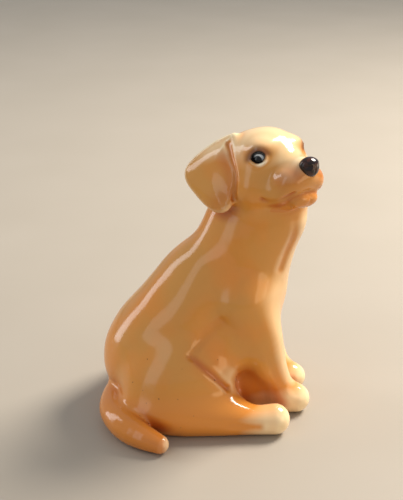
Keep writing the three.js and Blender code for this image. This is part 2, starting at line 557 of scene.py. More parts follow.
@dataclass(frozen=True)
class EyeSocket:
    """The oval opening between the lids, on either side of the head's own frame."""

    centre: Point = (8.7, -9.2, 2.6)
    facing: Point = (0.72, -0.68, 0.10)
    width: float = 1.85
    height: float = 1.62
    slant: float = 8.0
    depth: float = 1.0
    lid: float = 0.25
    lid_ring: float = 1.28
    lid_width: float = 0.22
    rim_ring: float = 0.92
    reach: float = 4.0

    @cached_property
    def axes(self) -> tuple[np.ndarray, np.ndarray, np.ndarray]:
        """Unit directions in the head's own frame.

        Returns:
            Across the opening, up it and out of it.
        """
        out = np.array(self.facing) / np.linalg.norm(self.facing)
        level = np.cross([0, 0, 1], out)
        level /= np.linalg.norm(level)
        slant = math.radians(self.slant)
        across = level * math.cos(slant) - np.cross(out, level) * math.sin(slant)
        return across.astype(F32), np.cross(out, across).astype(F32), out.astype(F32)

    def oval(self, points: np.ndarray) -> tuple[np.ndarray, np.ndarray, np.ndarray]:
        """Where each point lies round the opening.

        Args:
            points: Points in the head's own frame, folded to its left side.

        Returns:
            The distance from the eye's middle, 1 at the edge of the opening; the height above the
            middle in millimetres; and how far the point is in front of the eye's middle.
        """
        across, up, out = self.axes
        local = points - np.array(self.centre, F32)
        a, b, depth = local @ across, local @ up, local @ out
        return np.sqrt((a / self.width) ** 2 + (b / self.height) ** 2), b, depth

    def press(self, points: np.ndarray) -> np.ndarray:
        """How far the socket sinks the skin, with a raised lid round it.

        Args:
            points: One point a row, in the head's own frame, folded to its left side.

        Returns:
            The depth pressed at each, below zero where the lid stands proud.
        """
        ring, above, depth = self.oval(points)
        here = np.exp(-((depth / self.reach) ** 4))
        hole = self.depth / (1 + np.exp((ring - self.rim_ring) * 14))
        lid_height = self.lid * (1 - 0.5 * np.tanh(above))
        lids = lid_height * np.exp(-(((ring - self.lid_ring) / self.lid_width) ** 2))
        return ((hole - lids) * here).astype(F32)


@dataclass(frozen=True)
class Head(Piece):
    """Skull, forehead, cheeks and muzzle, in the head's own frame."""

    node: str = "head"
    blend: float = 5.0
    pose: HeadPose = HeadPose()
    socket: EyeSocket = EyeSocket()
    core: Point = (0, -15, 70)
    skull: tuple[Lump, ...] = (
        Lump((0, 1.0, 0), (12.6, 12.5, 11.2)),
        Lump((0, -4.0, 1.8), (10.2, 9.0, 8.6)),
    )
    cheek: Lump = Lump((6.5, -3.3, -5.3), (6.5, 7.8, 6.4))
    bridge: Roll = Roll(((0, -7.5, -3.8), (0, -15.7, -3.6)), (7.0, 5.0), steps=1)
    flew: Lump = Lump((5.2, -10.8, -7.0), (3.9, 6.0, 4.2), (0, 0, -8))
    lip: Lump = Lump((3.6, -15.0, -5.3), (4.4, 4.4, 4.0))
    brow: Lump = Lump((5.8, -8.0, 5.0), (3.4, 2.6, 2.2))

    def distance(self, points: np.ndarray) -> np.ndarray:
        """The head without its jaw, ears, eyes and nose.

        Args:
            points: One point a row, in the figure's frame.

        Returns:
            The distance of each, below zero inside.
        """
        local = folded(self.pose.local(points))
        total = blended(self.skull, local, 3.0)
        softly = ((self.cheek, 5), (self.bridge, 4), (self.flew, 2.6), (self.lip, 1.8), (self.brow, 2.6))
        for lump, blend in softly:
            total = smooth_union(total, lump.distance(local), blend)
        return total + self.socket.press(local)


@dataclass(frozen=True)
class Jaw(Piece):
    """The lower lip and chin, a strip of clay under the muzzle."""

    node: str = "lower_jaw"
    slot: str = "amber_glaze"
    blend: float = 0.9
    pose: HeadPose = HeadPose()
    core: Point = (0, -18, 68)
    strip: Roll = Roll(((0, -4, -8.0), (0, -14.2, -9.5)), (6.2, 3.2), steps=1)
    side: Lump = Lump((4.0, -9.6, -8.4), (3.6, 6.6, 3.5), (0, 0, -10))
    chin: Lump = Lump((1.2, -15.7, -10.5), (3.4, 2.8, 2.3))

    def distance(self, points: np.ndarray) -> np.ndarray:
        """Strip, sides and chin together."""
        local = folded(self.pose.local(points))
        return blended((self.strip, self.side, self.chin), local, 1.6)


@dataclass(frozen=True)
class Ear(Piece):
    """A thick leaf of clay hung from the side of the crown, its hind edge swung outwards."""

    side: Side = Side.RIGHT
    blend: float = 2.6
    pose: HeadPose = HeadPose()
    leaf: Leaf = Leaf(
        centre=(11.2, 1.5, 0),
        flare=25,
        lean=21,
        outline=(
            (-1.6, 10.0), (3.8, 8.9), (9.1, 5.9), (12.5, 2.4), (12.4, -1.0),
            (9.6, -5.0), (6.2, -8.8), (3.2, -10.8), (0.2, -10.0), (-1.0, -4.0), (-2.2, 3.0),
        ),
        half_thickness=0.1,
        fullness=1.6,
        rounding=1.1,
        curl=0.012,
    )

    def distance(self, points: np.ndarray) -> np.ndarray:
        """The ear, whichever side it hangs on."""
        local = self.pose.local(points)
        return self.leaf.distance(local * np.array([self.side.value, 1, 1], F32))


@dataclass(frozen=True)
class Figure:
    """Every blended piece, and the tool marks and cuts that run over them."""

    trunk: Trunk = Trunk()
    pose: HeadPose = HeadPose()
    base_rounding: float = 0.9
    left_inset: float = 2.8
    ear_crease: tuple[Point, ...] = (
        (10.4, 1.2, 8.0), (11.3, -0.4, 5.6), (12.5, -2.3, 2.1),
        (13.0, -3.4, -0.9), (13.4, -3.2, -4.0), (13.4, -1.6, -7.6),
    )
    ear_front: tuple[Point, ...] = (
        (13.0, 1.0, 4.6), (13.6, -1.0, 1.1), (14.2, -1.6, -1.9), (14.6, -1.2, -6.0),
    )
    ear_foot: tuple[Point, ...] = ((15.0, 1.0, -7.0), (15.5, 3.0, -8.5))
    mouth_corner: tuple[Point, ...] = (
        (9.3, -7.8, -6.6), (9.1, -9.6, -9.4), (8.2, -12.2, -10.4), (6.9, -14.9, -9.7), (4.8, -17.4, -8.0),
    )
    nose_side: tuple[Point, ...] = ((4.6, -18.6, -3.2), (6.2, -16.0, -4.0))
    wave: float = 5.0
    wave_height: float = 0.07
    hollow_edge: float = 0.6
    hollow_skin: float = 0.7

    @cached_property
    def head(self) -> Head:
        """The head, which also tells where the eyes are."""
        return Head(pose=self.pose)

    @cached_property
    def pieces(self) -> tuple[Piece, ...]:
        """Every piece but the torso, in the order in which they are luted on.

        Returns:
            The pieces, from the haunches up to the ears.
        """
        made: list[Piece] = []
        for side in BOTH:
            s, name = side.value, side.name.lower()
            made.append(Haunch(f"{name}_haunch", side=side, core=(s * 9, 6, 13)))
            made.append(HindFoot(f"{name}_hind_foot", side=side, core=(s * 19, 0, 4)))
            inset = self.left_inset if side is Side.LEFT else 0.0
            made.append(Foreleg(f"{name}_foreleg", side=side, inset=inset, core=(s * 5, -14, 30)))
        made.append(Tail())
        made.append(self.head)
        made.append(Jaw(pose=self.pose))
        for side in BOTH:
            root = self.pose.world(np.array([[side.value * 5.0, 1.0, 0.0]], F32))[0]
            made.append(Ear(f"{side.name.lower()}_ear", side=side, pose=self.pose, core=tuple(root)))
        return tuple(made)

    @cached_property
    def marks(self) -> tuple[ToolMark, ...]:
        """Grooves and ridges over the whole figure, and strokes that darken the glaze with pooled glaze and
        painted shade.

        Returns:
            The strokes, in the figure's frame.
        """
        made = []
        for side in BOTH:
            s = side.value
            made += [
                ToolMark(((s * 20.8, 3, 24.8), (s * 21.7, -2, 20.3), (s * 19.8, -7.3, 13.8)), 1.1, 0.7, 0.7),
                ToolMark(((s * 20.4, 3, 25.2), (s * 17.1, -0.4, 28.6), (s * 16, -5.7, 34)), 1.4, 0.55, 0.12),
                ToolMark(((s * 26, -8, 5), (s * 26.5, -13, 4.6), (s * 26, -17, 4.4)), 1.3, 0.35, 0.0),
                ToolMark(((s * 8.5, -26, 63), (s * 8.5, -26, 56), (s * 9, -23, 48)), 1.8, 0.4, 0.2),
                self.head_mark(side, self.ear_crease, 0.7, 0.9, 0.75),
                self.head_mark(side, self.ear_front, 2.2, 0.0, 0.45),
                self.head_mark(side, self.ear_foot, 3.0, 0.0, 0.4),
                self.head_mark(side, self.mouth_corner, 0.7, 0.5, 0.7),
                self.head_mark(side, self.nose_side, 3.3, 0.0, 0.6),
            ]
        made.append(ToolMark(Tail().route[1:], 5.0, 0.0, 0.42))
        return tuple(made)

    def head_mark(
        self, side: Side, route: tuple[Point, ...], width: float, depth: float, pooling_and_shade: float
    ) -> ToolMark:
        """A stroke given in the head's own frame, on one side of it."""
        rows = self.pose.world(np.array(route, F32) * np.array([side.value, 1, 1], F32))
        return ToolMark(tuple(tuple(row) for row in rows.tolist()), width, depth, pooling_and_shade)

    def distance(self, points: np.ndarray) -> np.ndarray:
        """How far each point is outside the figure's skin.

        Args:
            points: One point a row, in the figure's frame.

        Returns:
            The distance of each, below zero inside.
        """
        points = np.asarray(points, F32)
        total = self.trunk.distance(points)
        for piece in self.pieces:
            total = smooth_union(total, piece.distance(points), piece.blend)
        for mark in self.marks:
            total = total + mark.press(points)
        total = total + self.waviness(points)
        total = smooth_cut(total, self.trunk.hollow(points), self.hollow_edge)
        return smooth_cut(total, points[:, 2], self.base_rounding)

    def waviness(self, points: np.ndarray) -> np.ndarray:
        """The slow unevenness of a hand-smoothed casting."""
        x, y, z = (points / F32(self.wave)).T
        return F32(self.wave_height) * (np.sin(x + 2 * y) + np.sin(1.7 * z - y + 1) * np.sin(1.3 * x + z))

    def from_eyes(self, points: np.ndarray) -> np.ndarray:
        """How far each point is from the nearer eye."""
        eye = np.array(self.head.socket.centre, F32)
        return np.linalg.norm(folded(self.pose.local(points)) - eye, axis=1)

    def levels(self, points: np.ndarray) -> dict[str, np.ndarray]:
        """For each piece, how far each point is outside it. The hollow all counts as the torso.

        Args:
            points: One point a row, in the figure's frame.

        Returns:
            The distances, by the name of the piece.
        """
        trunk = self.trunk.distance(points)
        trunk = np.where(np.abs(self.trunk.hollow(points)) < self.hollow_skin, F32(-100), trunk)
        return {self.trunk.node: trunk, **{piece.node: piece.distance(points) for piece in self.pieces}}


# ---------------------------------------------------------------- from clay to mesh


def sides(triangles: np.ndarray) -> np.ndarray:
    """The three sides of each triangle, as pairs of point numbers."""
    return np.vstack([triangles[:, [0, 1]], triangles[:, [1, 2]], triangles[:, [2, 0]]])


@dataclass
class Skin:
    """A triangle mesh with a normal and named values at each point, in millimetres."""

    points: np.ndarray
    triangles: np.ndarray
    normals: np.ndarray
    values: dict[str, np.ndarray] = field(default_factory=dict)

    def take(self, triangles: np.ndarray) -> Skin:
        """The part of the skin that these triangles use.

        Args:
            triangles: Three point numbers a row.

        Returns:
            A skin with just those triangles and their points.
        """
        used, renumbered = np.unique(triangles, return_inverse=True)
        values = {name: value[used] for name, value in self.values.items()}
        return Skin(self.points[used], renumbered.reshape(-1, 3), self.normals[used], values)

    def part(self, level: np.ndarray) -> tuple[Skin, Skin]:
        """Cuts the skin where a value crosses zero.

        Args:
            level: One number for each point.

        Returns:
            The side where it is negative, and the other side, with the same points along the cut.
        """
        cleared = F32(CLEAR_OF_CUT) * np.where(level < 0, -1, 1)
        level = np.where(np.abs(level) < CLEAR_OF_CUT, cleared, level)
        below = level < 0
        count = below[self.triangles].sum(1)
        mixed = self.triangles[(count == 1) | (count == 2)]
        edges = sides(mixed)
        edges = edges[below[edges[:, 0]] != below[edges[:, 1]]]
        edges = np.unique(np.sort(edges, 1), axis=0)
        t = (level[edges[:, 0]] / (level[edges[:, 0]] - level[edges[:, 1]]))[:, None]

        def between(value: np.ndarray) -> np.ndarray:
            """Adds the new points' values, shared out along the cut edges.

            Args:
                value: One value or row for each old point.

            Returns:
                The same, with one more for each new point.
            """
            ends = value if value.ndim == 2 else value[:, None]
            mixed_value = ends[edges[:, 0]] * (1 - t) + ends[edges[:, 1]] * t
            return np.concatenate([value, mixed_value.reshape(-1, *value.shape[1:]).astype(value.dtype)])

        cut_point = {tuple(edge): len(self.points) + i for i, edge in enumerate(edges.tolist())}
        grown = Skin(
            between(self.points), self.triangles, between(self.normals),
            {name: between(value) for name, value in self.values.items()},
        )
        new: dict[bool, list[tuple[int, int, int]]] = {True: [], False: []}
        for triangle in mixed.tolist():
            lone = next(i for i in range(3) if below[triangle[i]] != below[triangle[i - 1]]
                        and below[triangle[i]] != below[triangle[(i + 1) % 3]])
            a, b, c = triangle[lone], triangle[(lone + 1) % 3], triangle[(lone + 2) % 3]
            ab, ac = cut_point[min(a, b), max(a, b)], cut_point[min(a, c), max(a, c)]
            new[bool(below[a])].append((a, ab, ac))
            new[not below[a]].extend([(ab, b, c), (ab, c, ac)])
        inside = np.vstack([self.triangles[count == 3], np.array(new[True]).reshape(-1, 3)])
        outside = np.vstack([self.triangles[count == 0], np.array(new[False]).reshape(-1, 3)])
        return grown.take(inside.astype(int)), grown.take(outside.astype(int))

    def loops(self) -> list[np.ndarray]:
        """Each open edge of the skin, as the numbers of its points in order.

        Returns:
            One array of point numbers for each open edge.
        """
        edges = sides(self.triangles)
        key = edges.min(1).astype(np.int64) * (len(self.points) + 1) + edges.max(1)
        _, first, uses = np.unique(key, return_index=True, return_counts=True)
        following = dict(edges[first[uses == 1]].tolist())
        found = []
        while following:
            start, here = following.popitem()
            loop = [start]
            while here != start and here in following:
                loop.append(here)
                here = following.pop(here)
            found.append(np.array(loop))
        return found

    def closed(
        self, core: Point, distance: Shape, depths: tuple[float, ...] = (0.08, 0.25, 0.5, 0.75),
        inwards: float = 0.35,
    ) -> Skin:
        """The skin with each open edge drawn in, ring by ring, to a point inside the clay.

        Args:
            core: A point deep inside the piece.
            distance: The whole figure's distance, which keeps the caps inside it.
            depths: How far each ring is on its way from the edge to the tip.
            inwards: How far the tip is on its way from the edge's middle to the core.

        Returns:
            The closed skin.
        """
        inner, triangles = [], [self.triangles]
        count = len(self.points)
        for loop in self.loops():
            edge = self.points[loop]
            tip = edge.mean(0) * F32(1 - inwards) + np.array(core, F32) * F32(inwards)
            outer = loop
            for depth in depths:
                inner.append(edge * F32(1 - depth) + tip * F32(depth))
                ring = count + np.arange(len(loop))
                count += len(loop)
                a, b, c, d = outer, np.roll(outer, -1), np.roll(ring, -1), ring
                triangles += [np.column_stack([b, a, d]), np.column_stack([b, d, c])]
                outer = ring
            inner.append(tip[None])
            triangles.append(np.column_stack([np.roll(outer, -1), outer, np.full(len(loop), count)]))
            count += 1
        extra = count - len(self.points)
        points = np.vstack([self.points, sunk(np.vstack(inner), distance)])
        values = {name: np.append(value, np.zeros(extra, F32)) for name, value in self.values.items()}
        normals = np.vstack([self.normals, np.tile(np.array([[0, 0, 1]], F32), (extra, 1))])
        return Skin(points.astype(F32), np.vstack(triangles), normals, values)


def sunk(points: np.ndarray, distance: Shape, depth: float = 0.7) -> np.ndarray:
    """The points, moved at least that deep into a shape.

    Args:
        points: One point a row.
        distance: The shape's distance.
        depth: How deep the points must lie, in millimetres.

    Returns:
        The moved points.
    """
    points = points.astype(F32)
    for _ in range(6):
        shallow = distance(points) > -depth
        here, grows = Mesher.slope(distance, points[shallow])
        steep = np.maximum((grows * grows).sum(1), 0.3)
        points[shallow] -= grows * np.maximum((here + depth) / steep, 0)[:, None]
    return points


@dataclass(frozen=True)
class Mesher:
    """Finds the skin of a shape on a grid, and draws it on to the true surface."""

    voxel: float
    coarse: int = 4
    band: float = 1.9
    batch: int = 300_000

    def sample(self, distance: Shape, low: np.ndarray, shape: tuple[int, ...]) -> np.ndarray:
        """The shape's distance on a grid, exact near the skin and rough elsewhere.

        Args:
            distance: The shape's distance.
            low: Lowest corner of the grid.
            shape: How many grid points there are each way.

        Returns:
            The distances on the grid.
        """
        starts = [low[k] + self.voxel * np.arange(0, shape[k], self.coarse) for k in range(3)]
        corners = np.stack(np.meshgrid(*starts, indexing="ij"), -1).reshape(-1, 3)
        rough = distance(corners.astype(F32)).reshape([len(s) for s in starts])
        full = rough
        for axis in range(3):
            full = np.repeat(full, self.coarse, axis)
        full = np.ascontiguousarray(full[: shape[0], : shape[1], : shape[2]], F32)
        near = np.argwhere(np.abs(full) < self.voxel * self.coarse * self.band)
        for part in np.array_split(near, len(near) // self.batch + 1):
            full[tuple(part.T)] = distance((low + part * self.voxel).astype(F32))
        return full

    @staticmethod
    def slope(distance: Shape, points: np.ndarray) -> tuple[np.ndarray, np.ndarray]:
        """The distance at each point, and which way it grows.

        Args:
            distance: The shape's distance.
            points: One point a row.

        Returns:
            The distance at each point, and its slope there.
        """
        step = F32(0.04)
        here = distance(points)
        moves = np.eye(3, dtype=F32) * step
        grows = np.column_stack([distance(points + move) - distance(points - move) for move in moves])
        return here, grows / (2 * step)

    def skin(self, distance: Shape, low: Point, high: Point) -> Skin:
        """The closed skin of a shape.

        Args:
            distance: A function from points to their distance outside the shape.
            low: Lowest corner of a box that holds it.
            high: Highest corner of that box.

        Returns:
            The skin, with the shape's own slope as its normals.
        """
        low_corner = np.array(low, float)
        shape = tuple((np.ceil((np.array(high) - low_corner) / self.voxel).astype(int) + 1).tolist())
        grid = openvdb.FloatGrid(1e3)
        grid.copyFromArray(self.sample(distance, low_corner, shape))
        points, _, quads = grid.convertToPolygons(0.0, 0.0)
        quads = quads.astype(int)
        triangles = np.vstack([quads[:, [0, 1, 2]], quads[:, [0, 2, 3]]])
        return self.drawn(points * self.voxel + low_corner, triangles, distance)

    def refine(self, skin: Skin, distance: Shape, chosen: np.ndarray) -> Skin:
        """Splits the triangles whose points are all chosen, and their neighbours to match.

        Args:
            skin: The skin to split. Only its points and triangles are used.
            distance: The shape's distance, on to which the new points are drawn.
            chosen: True at the points to refine between.

        Returns:
            The finer skin.
        """
        tris = skin.triangles
        edges = np.sort(sides(tris), 1)
        edges = np.unique(edges[chosen[edges].all(1)], axis=0)
        middles = (skin.points[edges[:, 0]] + skin.points[edges[:, 1]]) / 2
        middle = {tuple(edge): len(skin.points) + i for i, edge in enumerate(edges.tolist())}
        marked = chosen[tris].sum(1)
        made = [tris[marked < 2]]
        halves, quarters = [], []
        for triangle in tris[marked == 2].tolist():
            k = next(i for i in range(3) if not chosen[triangle[i]])
            a, b, c = triangle[k], triangle[(k + 1) % 3], triangle[(k + 2) % 3]
            m = middle[min(b, c), max(b, c)]
            halves += [(a, b, m), (a, m, c)]
        for a, b, c in tris[marked == 3].tolist():
            ab, bc, ca = (middle[min(p, q), max(p, q)] for p, q in ((a, b), (b, c), (c, a)))
            quarters += [(a, ab, ca), (ab, b, bc), (ca, bc, c), (ab, bc, ca)]
        made += [np.array(rows, int).reshape(-1, 3) for rows in (halves, quarters)]
        return self.drawn(np.vstack([skin.points, middles]), np.vstack(made), distance)

    def drawn(self, points: np.ndarray, triangles: np.ndarray, distance: Shape) -> Skin:
        """A skin whose points are drawn on to the true surface, with the slope as its normals.

        Args:
            points: One point a row, near the surface.
            triangles: Three point numbers a row.
            distance: The shape's distance.

        Returns:
            The skin.
        """
        points = points.astype(F32)
        for _ in range(2):
            here, grows = self.slope(distance, points)
            steep = np.maximum((grows * grows).sum(1), 0.2)
            points = points - grows * np.clip(here / steep, -self.voxel, self.voxel)[:, None]
        _, grows = self.slope(distance, points)
        normals = grows / np.maximum(np.linalg.norm(grows, axis=1, keepdims=True), 1e-6)
        return Skin(points, triangles, normals)


# ---------------------------------------------------------------- finishes


def colour(code: str) -> tuple[float, float, float, float]:
    """The linear colour of an sRGB hex code."""
    channels = [int(code[i : i + 2], 16) / 255 for i in (1, 3, 5)]
    return (*[c / 12.92 if c <= 0.04045 else ((c + 0.055) / 1.055) ** 2.4 for c in channels], 1.0)


def add(
    tree: bpy.types.NodeTree, kind: str, inputs: dict[str | int, object] | None = None, **settings: object
) -> bpy.types.Node:
    """Adds one node.

    Args:
        tree: The tree it goes in.
        kind: Blender's name for the node.
        inputs: A value or an output socket for each input, by name or number.
        settings: The node's own settings.

    Returns:
        The new node.
    """
    node = tree.nodes.new(kind)
    for key, value in settings.items():
        setattr(node, key, value)
    for key, value in (inputs or {}).items():
        if isinstance(value, bpy.types.NodeSocket):
            tree.links.new(value, node.inputs[key])
        else:
            node.inputs[key].default_value = value
    return node


def maths(tree: bpy.types.NodeTree, operation: str, *terms: object) -> bpy.types.NodeSocket:
    """The result of one Math node."""
    return add(tree, "ShaderNodeMath", dict(enumerate(terms)), operation=operation).outputs[0]


def ramp(tree: bpy.types.NodeTree, value: object, low: float, high: float) -> bpy.types.NodeSocket:
    """Runs smoothly from 0 where the value is low to 1 where it is high."""
    inputs = {"Value": value, "From Min": low, "From Max": high}
    return add(tree, "ShaderNodeMapRange", inputs, interpolation_type="SMOOTHSTEP").outputs["Result"]


def mixed(tree: bpy.types.NodeTree, factor: object, a: object, b: object) -> bpy.types.NodeSocket:
    """Colour a where the factor is 0, and colour b where it is 1."""
    node = add(tree, "ShaderNodeMix", {0: factor, 6: a, 7: b}, data_type="RGBA")
    return node.outputs[2]


def noise(tree: bpy.types.NodeTree, place: object, size: float, detail: float = 2.0) -> bpy.types.NodeSocket:
    """Clouds of about that size in millimetres, from 0 to 1."""
    inputs = {"Vector": place, "Scale": 1 / (size * MM), "Detail": detail}
    return add(tree, "ShaderNodeTexNoise", inputs).outputs["Fac"]


def fade(tree: bpy.types.NodeTree, value: object, low: float, high: float) -> bpy.types.NodeSocket:
    """Runs smoothly from 1 where the value is low to 0 where it is high."""
    return maths(tree, "SUBTRACT", 1, ramp(tree, value, low, high))


def product(tree: bpy.types.NodeTree, *factors: object) -> bpy.types.NodeSocket:
    """All the factors multiplied together."""
    return reduce(lambda a, b: maths(tree, "MULTIPLY", a, b), factors)


def length(tree: bpy.types.NodeTree, a: object, b: object) -> bpy.types.NodeSocket:
    """How long a step of a across and b up is."""
    squares = (maths(tree, "POWER", part, 2) for part in (a, b))
    return maths(tree, "SQRT", maths(tree, "ADD", *squares))


def measured(
    tree: bpy.types.NodeTree, place: bpy.types.NodeSocket, centre: Point, *ways: Point
) -> list[bpy.types.NodeSocket]:
    """How far a place is from a centre, each way.

    Args:
        tree: The material's tree.
        place: The place, in metres.
        centre: The centre, in millimetres.
        ways: The unit directions to measure along.

    Returns:
        One distance in metres for each direction.
    """
    middle = tuple(c * MM for c in centre)
    offset = add(tree, "ShaderNodeVectorMath", {0: place, 1: middle}, operation="SUBTRACT").outputs[0]
    return [
        add(tree, "ShaderNodeVectorMath", {0: offset, 1: way}, operation="DOT_PRODUCT").outputs["Value"]
        for way in ways
    ]


def unpainted(name: str) -> tuple[bpy.types.Material, bpy.types.Node, bpy.types.NodeSocket]:
    """A new material.

    Args:
        name: What it is called.

    Returns:
        The material, its shader, and the place on the piece at which a colour is asked for.
    """
    made = bpy.data.materials.new(name)
    made.use_nodes = True
    place = add(made.node_tree, "ShaderNodeTexCoord").outputs["Object"]
    return made, made.node_tree.nodes["Principled BSDF"], place


@dataclass(frozen=True)
class EyeAxes:
    """One eye's own directions in the figure's frame, for painting round it."""

    centre: Point
    across: Point
    up: Point
    out: Point


def eye_axes(socket: EyeSocket, pose: HeadPose, side: Side) -> EyeAxes:
    """The directions of one eye socket.

    Args:
        socket: The socket's shape.
        pose: Where the head is.
        side: Which eye.

    Returns:
        Its centre in millimetres, and its unit directions.
    """
    mirror = np.array([side.value, 1, 1], F32)
    across, up, out = (axis * mirror @ pose.matrix.T for axis in socket.axes)
    centre = pose.world(np.array([socket.centre], F32) * mirror)[0]
    return EyeAxes(*(tuple(float(c) for c in row) for row in (centre, across, up, out)))


@dataclass(frozen=True)
class EyeLining:
    """The painted black line round each eye, a painted brown shadow above it and a painted highlight on the
    pale lower lid.

    Places round the eye are counted in half-widths of its opening, so that 1 is the opening's edge.
    """

    socket: EyeSocket
    pose: HeadPose
    liner: str = "#150C0A"
    line_below: float = 0.9
    line_more_above: float = 0.28
    line_edge: Span = (-0.06, 0.08)
    shadow: str = "#6E3A14"
    shadow_strength: float = 0.95
    shadow_ring: Span = (1.2, 2.7)
    above: Span = (-0.7, 0.4)
    # Near-white painted highlight on the lower lid.
    lid: str = "#FFF0D2"
    lid_ring: Span = (1.3, 1.8)
    lid_below: Span = (-1.15, -0.55)
    lid_inner: Span = (-0.2, 0.9)
    front: Span = (-2.5, -1.5)

    def over(
        self, tree: bpy.types.NodeTree, place: bpy.types.NodeSocket, tone: bpy.types.NodeSocket
    ) -> bpy.types.NodeSocket:
        """Paints both eyes.

        Args:
            tree: The material's tree.
            place: Where on the piece the colour is asked for.
            tone: The colour so far.

        Returns:
            The colour with both eyes lined.
        """
        for side in BOTH:
            axes = eye_axes(self.socket, self.pose, side)
            a, b, out = measured(tree, place, axes.centre, axes.across, axes.up, axes.out)
            wide = maths(tree, "DIVIDE", a, self.socket.width * MM)
            high = maths(tree, "DIVIDE", b, self.socket.height * MM)
            ring = length(tree, wide, high)
            front = ramp(tree, out, *(c * MM for c in self.front))
            above = ramp(tree, high, *self.above)
            # Painted shadow above the eye.
            shade = product(tree, fade(tree, ring, *self.shadow_ring), above, self.shadow_strength, front)
            tone = mixed(tree, shade, tone, colour(self.shadow))
            # Painted highlight on the lower lid.
            lid = product(
                tree, fade(tree, ring, *self.lid_ring), fade(tree, high, *self.lid_below),
                fade(tree, wide, *self.lid_inner), front,
            )
            tone = mixed(tree, lid, tone, colour(self.lid))
            reach = maths(tree, "MULTIPLY_ADD", above, self.line_more_above, self.line_below)
            line = fade(tree, maths(tree, "SUBTRACT", ring, reach), *self.line_edge)
            tone = mixed(tree, product(tree, line, front), tone, colour(self.liner))
        return tone


@dataclass(frozen=True)
class Glaze:
    """A runny honey glaze over pale clay: pale where it is thin and where light is painted on, dark where it
    pools and where shade is painted in.
    """

    name: str = "honey glaze over pale clay"
    # Pale cream for glaze thinned on ridges and for painted light on the sides that face the key light.
    thin: str = "#FAE2B4"
    body: str = "#D29344"
    deep: str = "#DF8E38"
    # Dark orange-brown for glaze pooled in hollows and for painted shade in creases and recesses.
    pool: str = "#B4521A"
    clay: str = "#D9C4A4"
    roughness: float = 0.13
    clay_roughness: float = 0.8
    ior: float = 1.54
    cloud: float = 17.0
    cloud_edge: Span = (0.4, 0.7)
    deeper_below: Span = (7.0, 21.0)
    ripple: float = 5.0
    ripple_height: float = 0.05
    lining: EyeLining | None = None

    def material(self) -> bpy.types.Material:
        """The finish as a material.

        Returns:
            The new material.
        """
        made, shader, place = unpainted(self.name)
        tree = made.node_tree
        pool, thin, bare = (
            add(tree, "ShaderNodeAttribute", attribute_name=name).outputs["Fac"] for name in GLAZE_VALUES
        )
        clouds = ramp(tree, noise(tree, place, self.cloud), *self.cloud_edge)
        height = add(tree, "ShaderNodeSeparateXYZ", {0: place}).outputs["Z"]
        # Deeper orange towards the bottom of the figure, and in random clouds.
        low = fade(tree, height, *(c * MM for c in self.deeper_below))
        tone = mixed(tree, maths(tree, "MAXIMUM", clouds, low), colour(self.body), colour(self.deep))
        # Painted light on the crown, chest and toes, together with thin glaze on ridges, in the pale colour.
        tone = mixed(tree, thin, tone, colour(self.thin))
        # Painted shade in creases and recesses, together with pooled glaze, in the dark colour.
        tone = mixed(tree, pool, tone, colour(self.pool))
        if self.lining:
            tone = self.lining.over(tree, place, tone)
        tone = mixed(tree, bare, tone, colour(self.clay))
        waves = {"Height": noise(tree, place, self.ripple, 1), "Distance": self.ripple_height * MM}
        ripple = add(tree, "ShaderNodeBump", waves)
        tree.links.new(tone, shader.inputs["Base Color"])
        tree.links.new(ripple.outputs[0], shader.inputs["Normal"])
        dryness = {"Value": bare, "To Min": self.roughness, "To Max": self.clay_roughness}
        rough = add(tree, "ShaderNodeMapRange", dryness)
        tree.links.new(rough.outputs["Result"], shader.inputs["Roughness"])
        shader.inputs["IOR"].default_value = self.ior
        return made


@dataclass(frozen=True)
class BareClay:
    """Fired clay with no glaze on it: dry, and a little uneven in colour."""

    name: str
    dark: str
    light: str
    grain: float = 0.7
    roughness: float = 0.85

    def material(self) -> bpy.types.Material:
        """The finish as a material.

        Returns:
            The new material.
        """
        made, shader, place = unpainted(self.name)
        tree = made.node_tree
        tone = mixed(tree, noise(tree, place, self.grain), colour(self.dark), colour(self.light))
        tree.links.new(tone, shader.inputs["Base Color"])
        shader.inputs["Roughness"].default_value = self.roughness
        return made


@dataclass(frozen=True)
class NoseGlaze:
    """Thick dark brown glaze, nearly black."""

    name: str = "dark brown glaze"
    dark: str = "#1B0C0A"
    light: str = "#45221A"
    cloud: float = 1.6
    roughness: float = 0.12

    def material(self) -> bpy.types.Material:
        """The finish as a material.

        Returns:
            The new material.
        """
        made, shader, place = unpainted(self.name)
        tree = made.node_tree
        clouds = ramp(tree, noise(tree, place, self.cloud), 0.4, 0.7)
        tone = mixed(tree, clouds, colour(self.dark), colour(self.light))
        tree.links.new(tone, shader.inputs["Base Color"])
        shader.inputs["Roughness"].default_value = self.roughness
        return made


